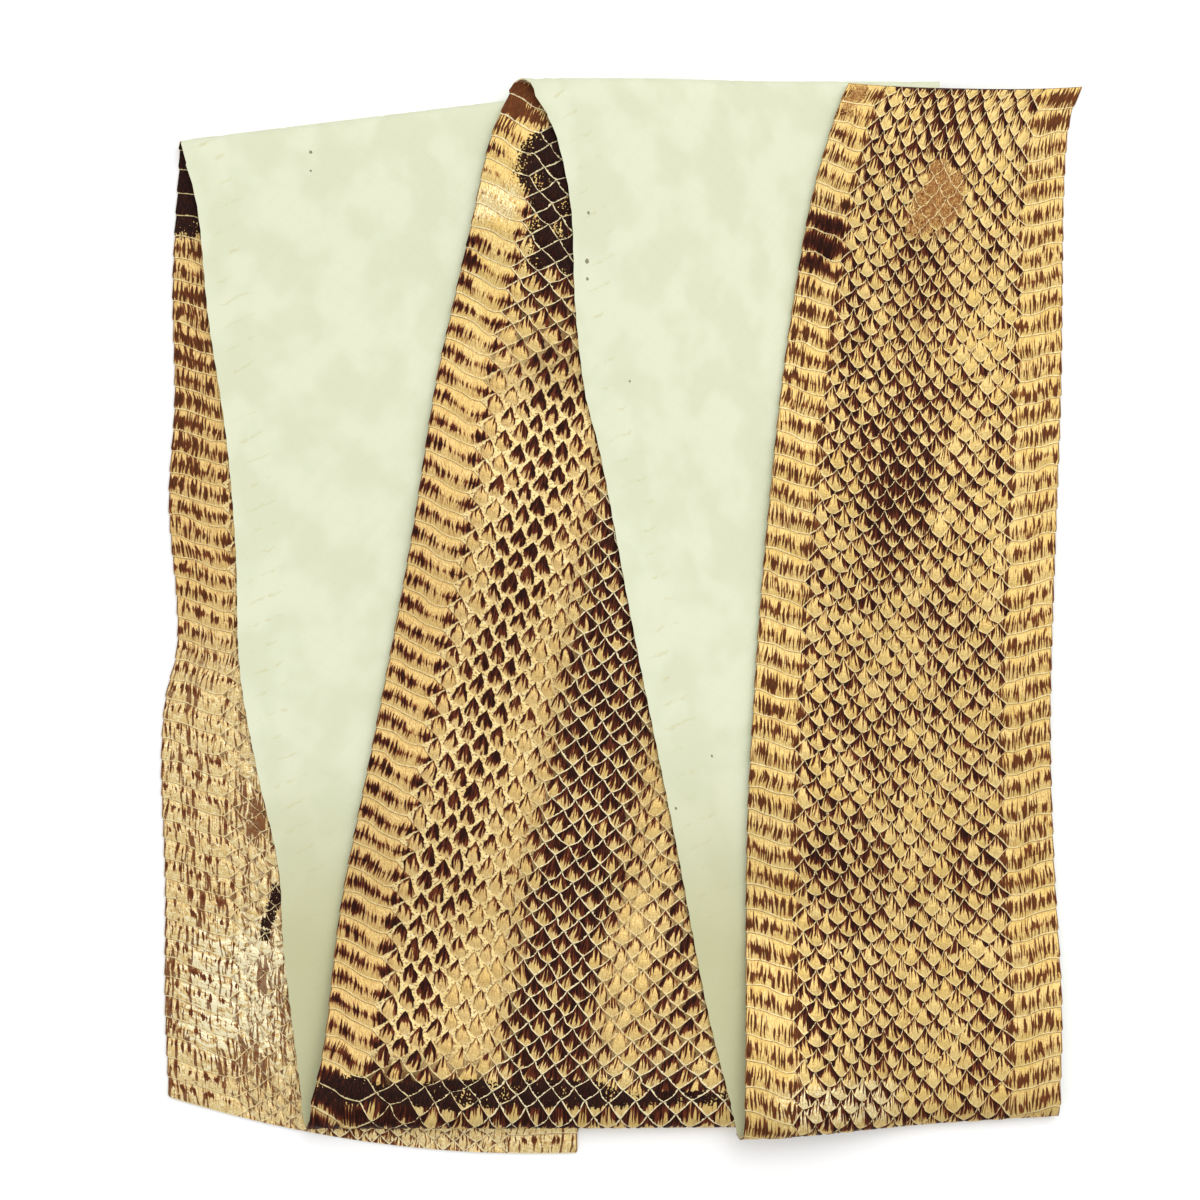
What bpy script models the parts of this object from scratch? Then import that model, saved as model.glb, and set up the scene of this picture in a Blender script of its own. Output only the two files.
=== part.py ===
# A tanned snake skin, cut open along the belly and folded zigzag in five layers, lying flat.
# The scale side faces up in the first, third and fifth layer, the flesh side in the two between.
# Metres, +Z up. The origin is the middle of the underside of the folded pile.

import math

import bmesh
import bpy
from mathutils import Vector

MM = 0.001

# The skin: its thickness, and the belly scales that stand as low ledges along both long edges.
THICKNESS = 0.7 * MM
LEDGE_HEIGHT = 0.3 * MM
EDGE_TOOTH = 0.35 * MM
BELLY_SCALE_SHARE = 0.135
# A belly scale's inner end lies this many scales further down than its outer end.
SCALE_LAG = 0.45
LAG_FADE = 4.0

# The pile: each layer lies loosely on the ones below, and sags to the surface past their edges.
LAYER_PITCH = 1.4 * MM
LAYER_WAVE = 0.5 * MM
WAVE_LENGTH = 150.0 * MM
SAG_LENGTH = 40.0 * MM
FOLD_RISE_LENGTH = 55.0 * MM

# The long edges of each layer as seen from above, in millimetres, in the order in which the
# skin runs: down the first layer, up the second, down the third, up the fourth, down the fifth.
# PILE_MIDDLE is the middle of the whole outline in the same plan.
PILE_MIDDLE = Vector((-0.42, -0.05))
LEFT_EDGES = (
    ((58, 138), (54.5, 129), (49, 110), (45, 88), (40.5, 56.5), (36.5, 17), (34, -16), (32, -52.5),
     (31.5, -99.5), (31, -128.6)),
    ((28.5, -128.6), (21.5, -100.5), (14, -60.5), (8.5, -33), (2.5, -3), (-5.5, 40), (-10, 58.5),
     (-12.5, 81), (-13.5, 105.5), (-17.5, 124.5), (-23, 135.2)),
    ((-29.5, 135.2), (-34.5, 123), (-39, 103), (-45, 77), (-49, 58), (-55, 19.5), (-64.5, -31),
     (-73, -74), (-77, -109), (-80.5, -125.5)),
    ((-83.3, -125.5), (-88, -87), (-89.5, -64.5), (-95, -39.5), (-99.5, -13), (-100.5, 17),
     (-103, 47), (-107.5, 77.5), (-110, 104.5), (-113.7, 120)),
    ((-115.2, 120), (-117, 87.5), (-116.5, 57), (-118, 30), (-116, 5), (-116, -8.5), (-119, -21.5),
     (-120, -39.5), (-119, -68), (-119, -99.5), (-118, -124.5)),
)
RIGHT_EDGES = (
    ((119.5, 138), (116, 129), (114.5, 111), (114, 77.5), (113.5, 51.5), (111, -16), (111.5, -55),
     (113.5, -97), (113, -123.6)),
    ((111.5, -123.6), (106, -73.5), (95.5, 17.5), (87.5, 85.5), (82, 135.2)),
    ((82, 135.2), (76, 85.5), (64, 4.5), (51, -73.5), (42, -125.5)),
    ((42, -125.5), (34.5, -73.5), (21.5, 4.5), (8.5, 85.5), (1, 134)),
    ((0.5, 134), (-2, 85.5), (-5, 4.5), (-8.5, -73.5), (-12, -139)),
)
# The belly scales along an edge of each layer and of each fold, and how much longer than their
# mean the last ones of a layer are.
LAYER_SCALES = (44, 42, 44, 42, 46)
FOLD_SCALES = 2
SCALE_GROWTH = (0.067, 0.02, 0.036, 0.0, -0.075)

# The four folds: how far each reaches out past its layers, and its height between them.
FOLD_REACH = (5.0 * MM, 3.5 * MM, 6.0 * MM, 3.5 * MM)
FOLD_HEIGHT = (4.6 * MM, 3.6 * MM, 5.2 * MM, 3.6 * MM)

# The cut ends bow from a straight line: the first is a little hollow, the last is rounded.
FIRST_END_BOW = -1.3 * MM
LAST_END_BOW = 4.5 * MM
BOW_FADE = 3.0

# The net that the skin is made from. Its columns are shares of the width, and its rows lie close
# together at a belly scale's free edge, so that the scale ends in a step.
COLUMNS = (0.0, BELLY_SCALE_SHARE, 0.17, 0.31, 0.47, 0.65, 0.83, 1 - BELLY_SCALE_SHARE, 1.0)
LEDGE_START = 0.08
LEDGE_END = 0.96
SCALES_TO_A_PLAIN_ROW = 2
ROWS_TO_A_FOLD = 6
EDGE_STEPS = 8


def smooth(value):
    """Rise from 0 to 1 with level ends."""
    value = min(1.0, max(0.0, value))
    return value * value * (3 - 2 * value)


class Edge:
    """A smooth curve through an edge's points, followed by its length."""

    def __init__(self, points):
        nodes = [(Vector(point) - PILE_MIDDLE) * MM for point in points]
        nodes = [2 * nodes[0] - nodes[1], *nodes, 2 * nodes[-1] - nodes[-2]]
        self.points = [nodes[1]]
        for before, start, end, after in zip(nodes, nodes[1:], nodes[2:], nodes[3:]):
            for step in range(1, EDGE_STEPS + 1):
                u = step / EDGE_STEPS
                pull = 2 * before - 5 * start + 4 * end - after
                twist = 3 * (start - end) + after - before
                self.points.append(start + 0.5 * (u * (end - before) + u**2 * pull + u**3 * twist))
        self.reached = [0.0]
        for start, end in zip(self.points, self.points[1:]):
            self.reached.append(self.reached[-1] + (end - start).length)

    def at(self, share):
        """The point at a share of the edge's length."""
        wanted = min(1.0, max(0.0, share)) * self.reached[-1]
        index = 1
        while self.reached[index] < wanted and index < len(self.points) - 1:
            index += 1
        span = self.reached[index] - self.reached[index - 1]
        return self.points[index - 1].lerp(self.points[index], (wanted - self.reached[index - 1]) / span)

    def x_at(self, y):
        """How far to the right the edge is, at a place up or down the plan."""
        nearest = min(self.points, key=lambda point: abs(point.y - y))
        for start, end in zip(self.points, self.points[1:]):
            if min(start.y, end.y) <= y < max(start.y, end.y):
                return start.x + (end.x - start.x) * (y - start.y) / (end.y - start.y)
        return nearest.x


LEFT = [Edge(points) for points in LEFT_EDGES]
RIGHT = [Edge(points) for points in RIGHT_EDGES]
LAYERS = len(LAYER_SCALES)
FOLDS = LAYERS - 1


def layer_start(layer):
    """The number of belly scales before a layer, counted down the whole skin."""
    return sum(LAYER_SCALES[:layer]) + FOLD_SCALES * layer


def fold_end(fold, across, layer):
    """The point of a fold's line on one of its two layers, at a share of the width."""
    end = 1.0 if layer == fold else 0.0
    return LEFT[layer].at(end).lerp(RIGHT[layer].at(end), across)


def fold_outward(fold):
    """The direction in which a fold reaches out: down the plan, then up, in turn."""
    along = fold_end(fold, 1, fold) - fold_end(fold, 0, fold)
    outward = Vector((along.y, -along.x)).normalized()
    return outward if fold % 2 == 0 else -outward


def wave(layer, point):
    """How much more than its pitch a layer takes up at a point, because it lies loosely."""
    turn = math.tau / WAVE_LENGTH
    swell = math.sin(turn * (point.x + 0.7 * point.y) + layer) * math.sin(turn * point.y - 2 * layer)
    return LAYER_WAVE * (1 + swell)


def rise(layer, point):
    """The height of a layer's underside, from the layers and the folds beneath it."""
    height = 0.0
    for below in range(layer + 1, LAYERS):
        past = point.x - RIGHT[below].x_at(point.y)
        height += (LAYER_PITCH + wave(below, point)) * (1 - smooth(past / SAG_LENGTH))
    for fold in range(layer, FOLDS):
        line_start = fold_end(fold, 0, fold)
        line_end = fold_end(fold, 1, fold)
        inward = (line_start - point).dot(fold_outward(fold))
        past = point.x - line_end.x
        lift = FOLD_HEIGHT[fold] - LAYER_PITCH
        lift *= (1 - smooth(inward / FOLD_RISE_LENGTH)) * (1 - smooth(past / SAG_LENGTH))
        height += lift
    return height


def end_bow(scale, across):
    """How far the skin runs on past a straight line near its two cut ends."""
    hump = 4 * across * (1 - across)
    length = layer_start(LAYERS - 1) + LAYER_SCALES[-1]
    near_first = 1 - smooth(scale / BOW_FADE)
    near_last = 1 - smooth((length - scale) / BOW_FADE)
    return Vector((0, hump * (FIRST_END_BOW * near_first - LAST_END_BOW * near_last)))


def on_layer(layer, scale, across):
    """The point of a layer's middle surface, and the direction of its scale side."""
    u = (scale - layer_start(layer)) / LAYER_SCALES[layer]
    growth = SCALE_GROWTH[layer]
    share = u * (1 - growth) + growth * u**2
    plan = LEFT[layer].at(share).lerp(RIGHT[layer].at(share), across) + end_bow(scale, across)
    side = 1 if layer % 2 == 0 else -1
    return Vector((plan.x, plan.y, rise(layer, plan) + THICKNESS / 2)), Vector((0, 0, side))


def on_fold(fold, turned, across):
    """The same on a fold, which turns over from its upper to its lower layer as half an ellipse."""
    upper = fold_end(fold, across, fold)
    lower = fold_end(fold, across, fold + 1)
    upper_height = rise(fold, upper) + THICKNESS / 2
    lower_height = rise(fold + 1, lower) + THICKNESS / 2
    angle = math.pi * turned
    half = (upper_height - lower_height) / 2
    outward = fold_outward(fold)
    plan = upper.lerp(lower, (1 - math.cos(angle)) / 2) + outward * FOLD_REACH[fold] * math.sin(angle)
    height = (upper_height + lower_height) / 2 + half * math.cos(angle)
    slant = outward * math.sin(angle) / FOLD_REACH[fold]
    normal = Vector((slant.x, slant.y, math.cos(angle) / half)).normalized()
    side = 1 if fold % 2 == 0 else -1
    return Vector((plan.x, plan.y, height)), normal * side


def folded(scale, across):
    """The point of the folded skin's middle surface, and the direction of its scale side."""
    layer = 0
    while layer < LAYERS - 1 and scale > layer_start(layer + 1):
        layer += 1
    turned = (scale - layer_start(layer) - LAYER_SCALES[layer]) / FOLD_SCALES
    if turned > 0 and layer < FOLDS:
        return on_fold(layer, turned, across)
    return on_layer(layer, scale, across)


def lag(scale, across):
    """How far down its row a point lies, because the belly scales slant towards the back."""
    inward = min(across, 1 - across) / BELLY_SCALE_SHARE
    ends = [layer_start(layer) for layer in range(LAYERS)]
    ends += [layer_start(layer) + LAYER_SCALES[layer] for layer in range(LAYERS)]
    nearest = min(abs(scale - end) for end in ends)
    return SCALE_LAG * smooth(inward) * smooth(nearest / LAG_FADE)


def rows():
    """Each row's place along the skin, its ledge height and whether the flesh side has it too."""
    found = []
    for layer in range(LAYERS):
        start = layer_start(layer)
        count = LAYER_SCALES[layer]
        if layer % 2 == 0:
            found.append((start, 0.0, True))
            for scale in range(count):
                shared = scale % SCALES_TO_A_PLAIN_ROW == 1
                if scale > 0:
                    found.append((start + scale + LEDGE_START, 0.0, False))
                if scale < count - 1:
                    found.append((start + scale + LEDGE_END, 1.0, shared))
        else:
            for scale in range(0, count, SCALES_TO_A_PLAIN_ROW):
                found.append((start + scale, 0.0, True))
        found.append((start + count, 0.0, True))
        if layer < FOLDS:
            for step in range(1, ROWS_TO_A_FOLD):
                found.append((start + count + FOLD_SCALES * step / ROWS_TO_A_FOLD, 0.0, True))
    return found


def flat_slab(row_count):
    """A flat slab of the net's squares, with column and row numbers as its coordinates."""
    net = bmesh.new()
    columns = len(COLUMNS) - 1
    bmesh.ops.create_grid(net, x_segments=columns, y_segments=row_count - 1, size=0.5)
    for vertex in net.verts:
        vertex.co.x = round((vertex.co.x + 0.5) * columns)
        vertex.co.y = round((vertex.co.y + 0.5) * (row_count - 1))
    grown = bmesh.ops.extrude_face_region(net, geom=net.faces[:])
    raised = [item for item in grown["geom"] if isinstance(item, bmesh.types.BMVert)]
    bmesh.ops.translate(net, verts=raised, vec=(0, 0, 1))
    return net


def thin_out_flesh_side(net, row_list):
    """Take away the flesh side's rows that only the scale side needs."""
    spare = []
    for edge in net.edges:
        first, second = edge.verts
        flat_underneath = first.co.z == 0 and second.co.z == 0
        along_row = first.co.y == second.co.y
        if flat_underneath and along_row and not row_list[round(first.co.y)][2]:
            spare.append(edge)
    bmesh.ops.dissolve_edges(net, edges=spare, use_verts=False)
    inner = [vertex for vertex in net.verts if vertex.co.z == 0 and len(vertex.link_edges) == 2]
    bmesh.ops.dissolve_verts(net, verts=inner)


def fold_up(net, row_list):
    """Move the slab's points to their places on the folded skin."""
    last = len(COLUMNS) - 1
    for vertex in net.verts:
        column = round(vertex.co.x)
        scale, ledge, _ = row_list[round(vertex.co.y)]
        across = COLUMNS[column]
        point, normal = folded(scale + lag(scale, across), across)
        on_belly_scale = column in (0, 1, last - 1, last)
        if vertex.co.z > 0:
            offset = THICKNESS / 2 + (LEDGE_HEIGHT * ledge if on_belly_scale else 0)
        else:
            offset = -THICKNESS / 2
        if column in (0, last):
            inside, _ = folded(scale, 0.5)
            outward = (point - inside).to_2d().normalized().to_3d()
            point = point + outward * EDGE_TOOTH * (ledge - 0.5)
        vertex.co = point + normal * offset


def skin_material():
    """Tanned scales with worn gold foil over dark brown."""
    material = bpy.data.materials.new("gilded_scales")
    material.use_nodes = True
    shader = material.node_tree.nodes["Principled BSDF"]
    shader.inputs["Base Color"].default_value = (0.60, 0.42, 0.16, 1)
    shader.inputs["Roughness"].default_value = 0.4
    shader.inputs["Metallic"].default_value = 0.6
    return material


def main():
    for old in list(bpy.data.objects):
        bpy.data.objects.remove(old)
    parts = bpy.data.collections.new("tanned_snake_skin")
    bpy.context.scene.collection.children.link(parts)
    row_list = rows()
    net = flat_slab(len(row_list))
    thin_out_flesh_side(net, row_list)
    fold_up(net, row_list)
    bmesh.ops.triangulate(net, faces=net.faces[:])
    # The rows run down the plan, which has turned the slab inside out.
    bmesh.ops.reverse_faces(net, faces=net.faces[:])
    mesh = bpy.data.meshes.new("snake_skin")
    net.to_mesh(mesh)
    net.free()
    mesh.materials.append(skin_material())
    parts.objects.link(bpy.data.objects.new("snake_skin", mesh))


main()
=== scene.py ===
# A tanned snake skin, cut open along the belly and folded zigzag in five layers, seen from above.
# It is one piece: the scales with their worn gold foil and the pale flesh side are both on it.

import math

import bmesh
import bpy
import numpy as np
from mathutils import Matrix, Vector, noise


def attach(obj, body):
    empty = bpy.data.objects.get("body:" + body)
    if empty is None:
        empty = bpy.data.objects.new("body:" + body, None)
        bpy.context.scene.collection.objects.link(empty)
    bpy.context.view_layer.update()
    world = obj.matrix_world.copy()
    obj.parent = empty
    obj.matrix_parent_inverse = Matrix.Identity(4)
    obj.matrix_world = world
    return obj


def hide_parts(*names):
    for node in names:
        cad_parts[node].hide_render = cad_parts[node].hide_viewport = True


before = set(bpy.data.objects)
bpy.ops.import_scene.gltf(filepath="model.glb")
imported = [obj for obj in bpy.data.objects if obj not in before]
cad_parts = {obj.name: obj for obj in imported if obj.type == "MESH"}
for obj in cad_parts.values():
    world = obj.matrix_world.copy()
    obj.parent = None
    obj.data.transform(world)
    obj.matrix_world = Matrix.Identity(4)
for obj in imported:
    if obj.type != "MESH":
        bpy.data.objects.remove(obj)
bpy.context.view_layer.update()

# The snake skin is thin tanned leather: the hide of one snake, cut open along the belly. Its scale
# side is printed brown under gold foil, and its flesh side is bare suede. It isn't fixed to anything:
# it is folded zigzag in five layers, and they lie by their own weight.
MM = 0.001

# The folded form. The strip goes down the first layer, up the second and so on. Each layer lies
# loosely on the ones below, and sags to the surface past their edges. A place on it is told by its
# belly scale, counted down the whole skin, and its share of the width. Edge points are in mm.
THICKNESS = 0.7 * MM
LAYER_PITCH = 1.4 * MM
LAYER_WAVE = 0.5 * MM
WAVE_LENGTH = 150.0 * MM
WAVE_SLANT = 0.7
SAG_LENGTH = 40.0 * MM
FOLD_RISE_LENGTH = 55.0 * MM
PILE_MIDDLE = Vector((-0.42, -0.05))
LEFT_EDGES = (
    ((58, 138), (54.5, 129), (49, 110), (45, 88), (40.5, 56.5), (36.5, 17), (34, -16), (32, -52.5),
     (31.5, -99.5), (31, -128.6)),
    ((28.5, -128.6), (21.5, -100.5), (14, -60.5), (8.5, -33), (2.5, -3), (-5.5, 40), (-10, 58.5),
     (-12.5, 81), (-13.5, 105.5), (-17.5, 124.5), (-23, 135.2)),
    ((-29.5, 135.2), (-34.5, 123), (-39, 103), (-45, 77), (-49, 58), (-55, 19.5), (-64.5, -31),
     (-73, -74), (-77, -109), (-80.5, -125.5)),
    ((-83.3, -125.5), (-88, -87), (-89.5, -64.5), (-95, -39.5), (-99.5, -13), (-100.5, 17),
     (-103, 47), (-107.5, 77.5), (-110, 104.5), (-113.7, 120)),
    ((-115.2, 120), (-117, 87.5), (-116.5, 57), (-118, 30), (-116, 5), (-116, -8.5), (-119, -21.5),
     (-120, -39.5), (-119, -68), (-119, -99.5), (-118, -124.5)),
)
RIGHT_EDGES = (
    ((119.5, 138), (116, 129), (114.5, 111), (114, 77.5), (113.5, 51.5), (111, -16), (111.5, -55),
     (113.5, -97), (113, -123.6)),
    ((111.5, -123.6), (106, -73.5), (95.5, 17.5), (87.5, 85.5), (82, 135.2)),
    ((82, 135.2), (76, 85.5), (64, 4.5), (51, -73.5), (42, -125.5)),
    ((42, -125.5), (34.5, -73.5), (21.5, 4.5), (8.5, 85.5), (1, 134)),
    ((0.5, 134), (-2, 85.5), (-5, 4.5), (-8.5, -73.5), (-12, -139)),
)
LAYER_SCALES = (44, 42, 44, 42, 46)
FOLD_SCALES = 2
SCALE_GROWTH = (0.067, 0.02, 0.036, 0.0, -0.075)
FOLD_REACH = (5.0 * MM, 3.5 * MM, 6.0 * MM, 3.5 * MM)
FOLD_HEIGHT = (4.6 * MM, 3.6 * MM, 5.2 * MM, 3.6 * MM)
FIRST_END_BOW = -1.3 * MM
LAST_END_BOW = 4.5 * MM
BOW_FADE = 3.0
EDGE_STEPS = 8
LAYERS = len(LAYER_SCALES)
FOLDS = LAYERS - 1
LAYER_STARTS = [sum(LAYER_SCALES[:layer]) + FOLD_SCALES * layer for layer in range(LAYERS)]
SKIN_SCALES = LAYER_STARTS[-1] + LAYER_SCALES[-1]


def smooth(value):
    """Rise from 0 to 1 with level ends."""
    value = np.clip(value, 0, 1)
    return value * value * (3 - 2 * value)


def arch(share, height=1):
    """Rise from 0 to a height halfway, and sink back to 0."""
    return height * 4 * share * (1 - share)


class Edge:
    """A smooth curve through an edge's points, followed by its length."""

    def __init__(self, points):
        nodes = [(Vector(point) - PILE_MIDDLE) * MM for point in points]
        nodes = [2 * nodes[0] - nodes[1], *nodes, 2 * nodes[-1] - nodes[-2]]
        found = [nodes[1]]
        for before, start, end, after in zip(nodes, nodes[1:], nodes[2:], nodes[3:]):
            for step in range(1, EDGE_STEPS + 1):
                u = step / EDGE_STEPS
                pull = 2 * before - 5 * start + 4 * end - after
                twist = 3 * (start - end) + after - before
                found.append(start + 0.5 * (u * (end - before) + u**2 * pull + u**3 * twist))
        self.points = np.array([point[:] for point in found])
        spans = np.linalg.norm(np.diff(self.points, axis=0), axis=1)
        self.reached = np.concatenate(([0.0], np.cumsum(spans)))
        self.rising = self.points[np.argsort(self.points[:, 1])]

    def at(self, share):
        """The point at a share of the edge's length."""
        wanted = np.clip(share, 0, 1) * self.reached[-1]
        x = np.interp(wanted, self.reached, self.points[:, 0])
        y = np.interp(wanted, self.reached, self.points[:, 1])
        return np.stack((x, y), axis=-1)

    def x_at(self, y):
        """How far to the right the edge is, at a place up or down the plan."""
        return np.interp(y, self.rising[:, 1], self.rising[:, 0])


LEFT = [Edge(points) for points in LEFT_EDGES]
RIGHT = [Edge(points) for points in RIGHT_EDGES]


def on_plan(layer, share, across):
    """The plan of a layer at a share of its length and a share of its width."""
    across = np.asarray(across, dtype=float)[..., None]
    return LEFT[layer].at(share) * (1 - across) + RIGHT[layer].at(share) * across


def fold_outward(fold):
    """The direction in which a fold reaches out: down the plan, then up, in turn."""
    x, y = on_plan(fold, 1.0, 1.0) - on_plan(fold, 1.0, 0.0)
    outward = np.array((y, -x)) / math.hypot(x, y)
    return outward if fold % 2 == 0 else -outward


def rise(layer, plan):
    """The height of a layer's underside, from the layers and the folds beneath it."""
    x, y = plan[..., 0], plan[..., 1]
    turn = math.tau / WAVE_LENGTH
    height = np.zeros(x.shape)
    for below in range(layer + 1, LAYERS):
        swell = np.sin(turn * (x + WAVE_SLANT * y) + below) * np.sin(turn * y - 2 * below)
        past = x - RIGHT[below].x_at(y)
        height += (LAYER_PITCH + LAYER_WAVE * (1 + swell)) * (1 - smooth(past / SAG_LENGTH))
    for fold in range(layer, FOLDS):
        inward = (on_plan(fold, 1.0, 0.0) - plan) @ fold_outward(fold)
        past = x - on_plan(fold, 1.0, 1.0)[0]
        lift = (FOLD_HEIGHT[fold] - LAYER_PITCH) * (1 - smooth(inward / FOLD_RISE_LENGTH))
        height += lift * (1 - smooth(past / SAG_LENGTH))
    return height


def folded(scale, across):
    """Places on the folded skin's middle surface, and the directions of its scale side."""
    places = np.zeros((*scale.shape, 3))
    sides = np.zeros((*scale.shape, 3))
    for layer in range(LAYERS):
        start = LAYER_STARTS[layer]
        here = scale >= start
        u = (scale[here] - start) / LAYER_SCALES[layer]
        share = u * (1 - SCALE_GROWTH[layer]) + SCALE_GROWTH[layer] * u**2
        plan = on_plan(layer, share, across[here])
        hump = arch(across[here])
        near_first = 1 - smooth(scale[here] / BOW_FADE)
        near_last = 1 - smooth((SKIN_SCALES - scale[here]) / BOW_FADE)
        plan[:, 1] += hump * (FIRST_END_BOW * near_first - LAST_END_BOW * near_last)
        places[here, :2] = plan
        places[here, 2] = rise(layer, plan) + THICKNESS / 2
        sides[here] = (0, 0, 1 if layer % 2 == 0 else -1)
        if layer == FOLDS:
            break
        turning = scale > start + LAYER_SCALES[layer]
        angle = math.pi * np.clip((scale[turning] - start - LAYER_SCALES[layer]) / FOLD_SCALES, 0, 1)
        upper = on_plan(layer, 1.0, across[turning])
        lower = on_plan(layer + 1, 0.0, across[turning])
        top = rise(layer, upper) + THICKNESS / 2
        half = (top - rise(layer + 1, lower) - THICKNESS / 2) / 2
        turned = ((1 - np.cos(angle)) / 2)[:, None]
        outward = fold_outward(layer)
        plan = upper * (1 - turned) + lower * turned
        plan += outward * (FOLD_REACH[layer] * np.sin(angle))[:, None]
        places[turning, :2] = plan
        places[turning, 2] = top - half * (1 - np.cos(angle))
        slant = np.column_stack((np.outer(np.sin(angle) / FOLD_REACH[layer], outward), np.cos(angle) / half))
        slant /= np.linalg.norm(slant, axis=1)[:, None]
        sides[turning] = slant if layer % 2 == 0 else -slant
    return places, sides


# The net of scales. A belly scale lies along each long edge at every row, and the back scales
# between them are diamonds, each row of them half a scale on from the next. The neck has fewer rows
# than the body, and the two nets meet on the hidden face of the second layer.
NECK_CELLS = 10
BODY_CELLS = 14
NECK_END = 67
BELLY_SQUARES = 2
SHOWN_STRETCHES = ((0, 47), (87, 137), (177, SKIN_SCALES))
FOLD_STRETCHES = ((43, 47), (87, 91), (133, 137), (177, 181))
SHOWN_CUTS = 3
HIDDEN_CUTS = 1
GILDED, FLESH, EDGE = range(3)
net = bmesh.new()


def add_net(cells, first, last):
    """Lay out one stretch of scales flat, one unit wide and one unit long for each belly scale."""
    squares = cells + 2 * BELLY_SQUARES
    made = bmesh.ops.create_grid(net, x_segments=squares, y_segments=last - first, size=0.5)["verts"]
    for vertex in made:
        vertex.co.x = round((vertex.co.x + 0.5) * squares) / squares
        vertex.co.y = round((vertex.co.y + 0.5) * (last - first)) + first
    laid = {face for vertex in made for face in vertex.link_faces}
    back = [face for face in net.faces if face in laid
            and BELLY_SQUARES < face.calc_center_median().x * squares < squares - BELLY_SQUARES]
    back_faces = set(back)
    inner = [edge for edge in net.edges
             if len(edge.link_faces) == 2 and back_faces.issuperset(edge.link_faces)]
    bmesh.ops.poke(net, faces=back)
    bmesh.ops.dissolve_edges(net, edges=inner, use_verts=False)


def on_stretch(edge, first, last):
    """Whether an edge lies within a stretch of belly scales."""
    return all(first <= vertex.co.y <= last for vertex in edge.verts)


add_net(NECK_CELLS, 0, NECK_END)
add_net(BODY_CELLS, NECK_END + 1, SKIN_SCALES)
joint = [edge for edge in net.edges if edge.is_boundary
         and (on_stretch(edge, NECK_END, NECK_END) or on_stretch(edge, NECK_END + 1, NECK_END + 1))]
bmesh.ops.bridge_loops(net, edges=joint)
grown = bmesh.ops.extrude_face_region(net, geom=net.faces[:])["geom"]
raised = [item for item in grown if isinstance(item, bmesh.types.BMVert)]
bmesh.ops.translate(net, verts=raised, vec=(0, 0, 1))


def scale_side_edges():
    """The edges of the scale side, and of the flesh side's rim and its folds."""
    return [edge for edge in net.edges
            if all(vertex.co.z == 1 for vertex in edge.verts)
            or all(vertex.co.z == 0 and vertex.co.x in (0, 1) for vertex in edge.verts)
            or all(vertex.co.z == 0 for vertex in edge.verts)
            and any(on_stretch(edge, first, last) for first, last in FOLD_STRETCHES)]


# The faces and edges stay in the net's own order, which is the same on every run.
shown = [edge for edge in scale_side_edges()
         if any(on_stretch(edge, first, last) for first, last in SHOWN_STRETCHES)]
shown_edges = set(shown)
hidden = [edge for edge in scale_side_edges() if edge not in shown_edges]
bmesh.ops.subdivide_edges(net, edges=hidden, cuts=HIDDEN_CUTS, use_grid_fill=True)
shown = [edge for edge in shown if edge.is_valid]
bmesh.ops.subdivide_edges(net, edges=shown, cuts=SHOWN_CUTS, use_grid_fill=True)
for face in net.faces:
    heights = {vertex.co.z for vertex in face.verts}
    face.material_index = EDGE if len(heights) > 1 else GILDED if heights == {1.0} else FLESH

skin_mesh = bpy.data.meshes.new("snake_skin_folded")
net.to_mesh(skin_mesh)
net.free()
skin = bpy.data.objects.new("snake_skin_folded", skin_mesh)
bpy.context.scene.collection.objects.link(skin)

# The relief. A scale rises from its front to its free back edge and drops there in a short step.
# What changes down the skin is given as belly scales and the values at them.
FRONT_RISE = 0.13
LOW_FRONT = 0.25
STEP_START = 0.84
STEP_LENGTH = 0.16
QUARTERS = (0.0, 0.25, 0.5, 0.75, 1.0)
CROWDED = (0.0, FRONT_RISE, 0.45, STEP_START, 1.0)
BELLY_SHARE_AT = ((0, 46, 90, 134, 180, 205, SKIN_SCALES), (0.15, 0.15, 0.105, 0.10, 0.105, 0.13, 0.17))
SLANT_AT = ((0, 3, 44, 90, 134, 180, 220, SKIN_SCALES), (0.0, 0.6, 0.7, 2.0, 2.0, 0.65, 0.6, 0.0))
LAG_AT = ((46, 90), (0.45, 0.65))
BACK_LAG_AT = ((46, 90), (0.45, 0.62))
NARROWING_AT = ((46, 90), (0.011, 0.024))
BULGE_AT = ((46, 90), (0.13, 0.07))
BULGE_ON_LEFT = 1.25
BULGE_LOST_ON_RIGHT = 0.5
END_FADE = 3.0
BACK_RELIEF = 0.32 * MM
BELLY_RELIEF = 0.34 * MM
EDGE_TOOTH = 0.35 * MM
WANDER = 0.13
WANDERS_IN_SCALE = 1.3
WANDER_SEED = 1
EDGE_BAND = 0.02
TINY = 1e-6
SHARP_DEGREES = 62

count = len(skin_mesh.vertices)
flat = np.empty(count * 3)
skin_mesh.vertices.foreach_get("co", flat)
flat = flat.reshape(-1, 3)
cells = np.where(flat[:, 1] < NECK_END + 0.5, NECK_CELLS, BODY_CELLS)
column = flat[:, 0] * (cells + 2 * BELLY_SQUARES) - BELLY_SQUARES
row = flat[:, 1]
on_back = (column > 0) & (column < cells)


def moved(value):
    """Crowd a scale's subdivisions towards its edges, so that the step at its back is short."""
    quarters = len(QUARTERS) - 1
    value = np.round(value * quarters) / quarters
    whole = np.floor(value)
    return whole + np.interp(value - whole, QUARTERS, CROWDED)


down_right = moved(row + column)
down_left = moved(row - column)
column = np.where(on_back, (down_right - down_left) / 2, column)
row = np.where(on_back, (down_right + down_left) / 2, moved(row))

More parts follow.
